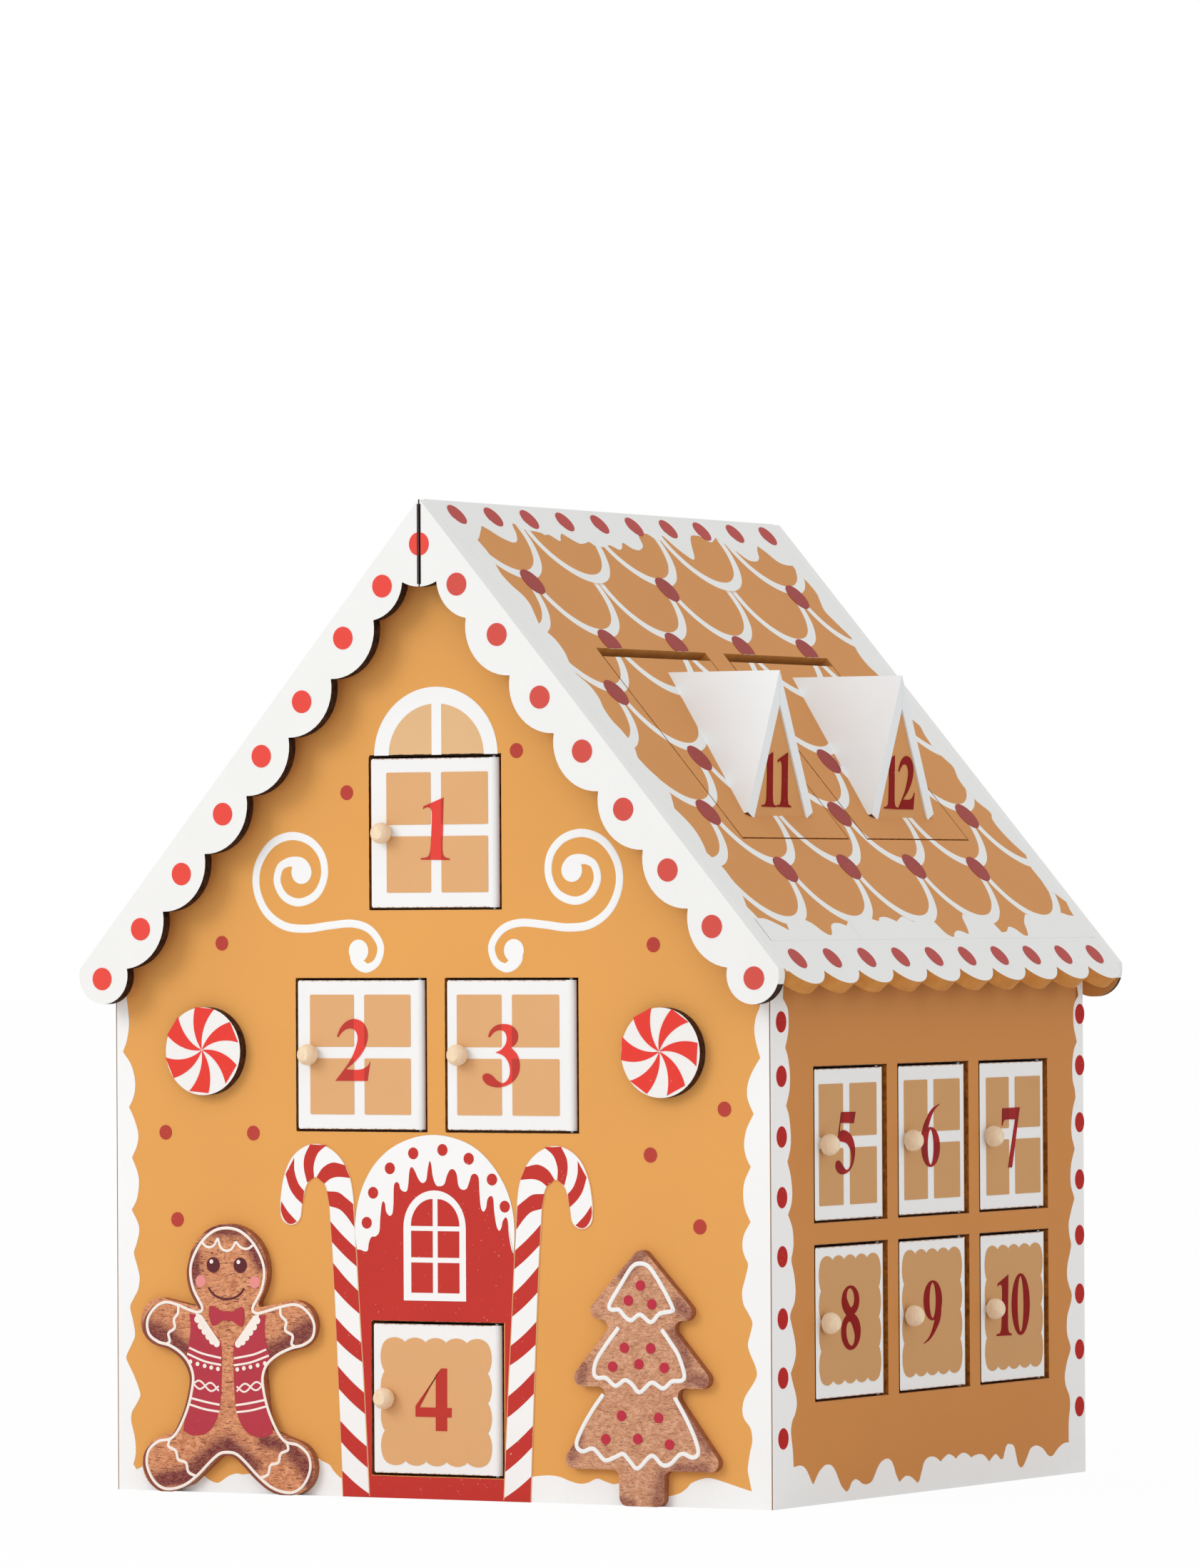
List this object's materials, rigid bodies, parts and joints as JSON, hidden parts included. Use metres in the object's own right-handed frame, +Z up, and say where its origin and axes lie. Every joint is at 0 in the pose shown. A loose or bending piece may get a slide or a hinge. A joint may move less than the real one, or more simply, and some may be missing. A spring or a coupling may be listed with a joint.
{
  "type": "wooden advent calendar",
  "caption": "Wooden gingerbread-house advent calendar with small hinged doors in its walls and hinged dormer flaps in its roof, each closing a compartment.",
  "frame": {"origin": "on the table plane, under the middle of the roof in width and in depth", "axes": "+Z up, -Y towards the front gable with doors 1 to 4, +X towards the right wall with doors 5 to 10"},
  "size_m": [0.2756, 0.2446, 0.3278],
  "materials": {
    "raw_board": "unpainted board",
    "gable_paint": "matte tan paint with painted icing",
    "wall_paint": "matte tan paint with painted icing",
    "roof_paint": "matte tan paint with painted icing",
    "white_paint": "matte white paint with red dots",
    "door_paint": "matte white paint with tan panes",
    "knob_wood": "bare turned wood",
    "pin_steel": "plain wire",
    "printed_wood": "printed face, laser-cut dark edge"
  },
  "bodies": {
    "house": {"floor_board": "raw_board", "front_gable": "gable_paint", "back_gable": "gable_paint", "right_wall": "wall_paint", "left_wall": "wall_paint", "right_roof": "roof_paint", "left_roof": "roof_paint", "bargeboards": "white_paint", "shelves": "raw_board", "partitions": "raw_board", "hinge_pins": "pin_steel", "glued_ornaments": "printed_wood"},
    "door_1": {"door_1": "door_paint", "knob_1": "knob_wood"},
    "door_2": {"door_2": "door_paint", "knob_2": "knob_wood"},
    "door_3": {"door_3": "door_paint", "knob_3": "knob_wood"},
    "door_4": {"door_4": "door_paint", "knob_4": "knob_wood"},
    "door_5": {"door_5": "door_paint", "knob_5": "knob_wood"},
    "door_6": {"door_6": "door_paint", "knob_6": "knob_wood"},
    "door_7": {"door_7": "door_paint", "knob_7": "knob_wood"},
    "door_8": {"door_8": "door_paint", "knob_8": "knob_wood"},
    "door_9": {"door_9": "door_paint", "knob_9": "knob_wood"},
    "door_10": {"door_10": "door_paint", "knob_10": "knob_wood"},
    "door_13": {"door_13": "door_paint", "knob_13": "knob_wood"},
    "door_14": {"door_14": "door_paint", "knob_14": "knob_wood"},
    "door_15": {"door_15": "door_paint", "knob_15": "knob_wood"},
    "door_16": {"door_16": "door_paint", "knob_16": "knob_wood"},
    "door_17": {"door_17": "door_paint", "knob_17": "knob_wood"},
    "door_18": {"door_18": "door_paint", "knob_18": "knob_wood"},
    "door_19": {"door_19": "door_paint", "knob_19": "knob_wood"},
    "door_20": {"door_20": "door_paint", "knob_20": "knob_wood"},
    "door_21": {"door_21": "door_paint", "knob_21": "knob_wood"},
    "door_22": {"door_22": "door_paint", "knob_22": "knob_wood"},
    "flap_11": {"roof_flap_11": "roof_paint", "dormer_11": "white_paint"},
    "flap_12": {"roof_flap_12": "roof_paint", "dormer_12": "white_paint"},
    "flap_23": {"roof_flap_23": "roof_paint", "dormer_23": "white_paint"},
    "flap_24": {"roof_flap_24": "roof_paint", "dormer_24": "white_paint"}
  },
  "joints": [
    {"name": "door_1_hinge", "type": "hinge", "parent": "house", "child": "door_1", "pos_m": [0.02135, -0.1105, 0.21849], "axis": [0, 0, 1], "range_deg": [0, 110]},
    {"name": "door_2_hinge", "type": "hinge", "parent": "house", "child": "door_2", "pos_m": [-0.0074, -0.1105, 0.14559], "axis": [0, 0, 1], "range_deg": [0, 110]},
    {"name": "door_3_hinge", "type": "hinge", "parent": "house", "child": "door_3", "pos_m": [0.0501, -0.1105, 0.14559], "axis": [0, 0, 1], "range_deg": [0, 110]},
    {"name": "door_4_hinge", "type": "hinge", "parent": "house", "child": "door_4", "pos_m": [0.02135, -0.1105, 0.03275], "axis": [0, 0, 1], "range_deg": [0, 110]},
    {"name": "door_5_hinge", "type": "hinge", "parent": "house", "child": "door_5", "pos_m": [0.1227, -0.0376, 0.11635], "axis": [0, 0, 1], "range_deg": [0, 110]},
    {"name": "door_6_hinge", "type": "hinge", "parent": "house", "child": "door_6", "pos_m": [0.1227, 0.0202, 0.11635], "axis": [0, 0, 1], "range_deg": [0, 110]},
    {"name": "door_7_hinge", "type": "hinge", "parent": "house", "child": "door_7", "pos_m": [0.1227, 0.078, 0.11635], "axis": [0, 0, 1], "range_deg": [0, 110]},
    {"name": "door_8_hinge", "type": "hinge", "parent": "house", "child": "door_8", "pos_m": [0.1227, -0.0376, 0.05855], "axis": [0, 0, 1], "range_deg": [0, 110]},
    {"name": "door_9_hinge", "type": "hinge", "parent": "house", "child": "door_9", "pos_m": [0.1227, 0.0202, 0.05855], "axis": [0, 0, 1], "range_deg": [0, 110]},
    {"name": "door_10_hinge", "type": "hinge", "parent": "house", "child": "door_10", "pos_m": [0.1227, 0.078, 0.05855], "axis": [0, 0, 1], "range_deg": [0, 110]},
    {"name": "door_13_hinge", "type": "hinge", "parent": "house", "child": "door_13", "pos_m": [-0.02135, 0.1062, 0.21849], "axis": [0, 0, 1], "range_deg": [0, 110]},
    {"name": "door_14_hinge", "type": "hinge", "parent": "house", "child": "door_14", "pos_m": [0.0074, 0.1062, 0.14559], "axis": [0, 0, 1], "range_deg": [0, 110]},
    {"name": "door_15_hinge", "type": "hinge", "parent": "house", "child": "door_15", "pos_m": [-0.0501, 0.1062, 0.14559], "axis": [0, 0, 1], "range_deg": [0, 110]},
    {"name": "door_16_hinge", "type": "hinge", "parent": "house", "child": "door_16", "pos_m": [-0.02135, 0.1062, 0.03275], "axis": [0, 0, 1], "range_deg": [0, 110]},
    {"name": "door_17_hinge", "type": "hinge", "parent": "house", "child": "door_17", "pos_m": [-0.1227, 0.0333, 0.11635], "axis": [0, 0, 1], "range_deg": [0, 110]},
    {"name": "door_18_hinge", "type": "hinge", "parent": "house", "child": "door_18", "pos_m": [-0.1227, -0.0245, 0.11635], "axis": [0, 0, 1], "range_deg": [0, 110]},
    {"name": "door_19_hinge", "type": "hinge", "parent": "house", "child": "door_19", "pos_m": [-0.1227, -0.0823, 0.11635], "axis": [0, 0, 1], "range_deg": [0, 110]},
    {"name": "door_20_hinge", "type": "hinge", "parent": "house", "child": "door_20", "pos_m": [-0.1227, 0.0333, 0.05855], "axis": [0, 0, 1], "range_deg": [0, 110]},
    {"name": "door_21_hinge", "type": "hinge", "parent": "house", "child": "door_21", "pos_m": [-0.1227, -0.0245, 0.05855], "axis": [0, 0, 1], "range_deg": [0, 110]},
    {"name": "door_22_hinge", "type": "hinge", "parent": "house", "child": "door_22", "pos_m": [-0.1227, -0.0823, 0.05855], "axis": [0, 0, 1], "range_deg": [0, 110]},
    {"name": "flap_11_hinge", "type": "hinge", "parent": "house", "child": "flap_11", "pos_m": [0.04501, -0.04315, 0.27237], "axis": [0, -1, 0], "range_deg": [0, 100]},
    {"name": "flap_12_hinge", "type": "hinge", "parent": "house", "child": "flap_12", "pos_m": [0.04501, 0.04265, 0.27237], "axis": [0, -1, 0], "range_deg": [0, 100]},
    {"name": "flap_23_hinge", "type": "hinge", "parent": "house", "child": "flap_23", "pos_m": [-0.04501, -0.04315, 0.27237], "axis": [0, 1, 0], "range_deg": [0, 100]},
    {"name": "flap_24_hinge", "type": "hinge", "parent": "house", "child": "flap_24", "pos_m": [-0.04501, 0.04265, 0.27237], "axis": [0, 1, 0], "range_deg": [0, 100]}
  ]
}
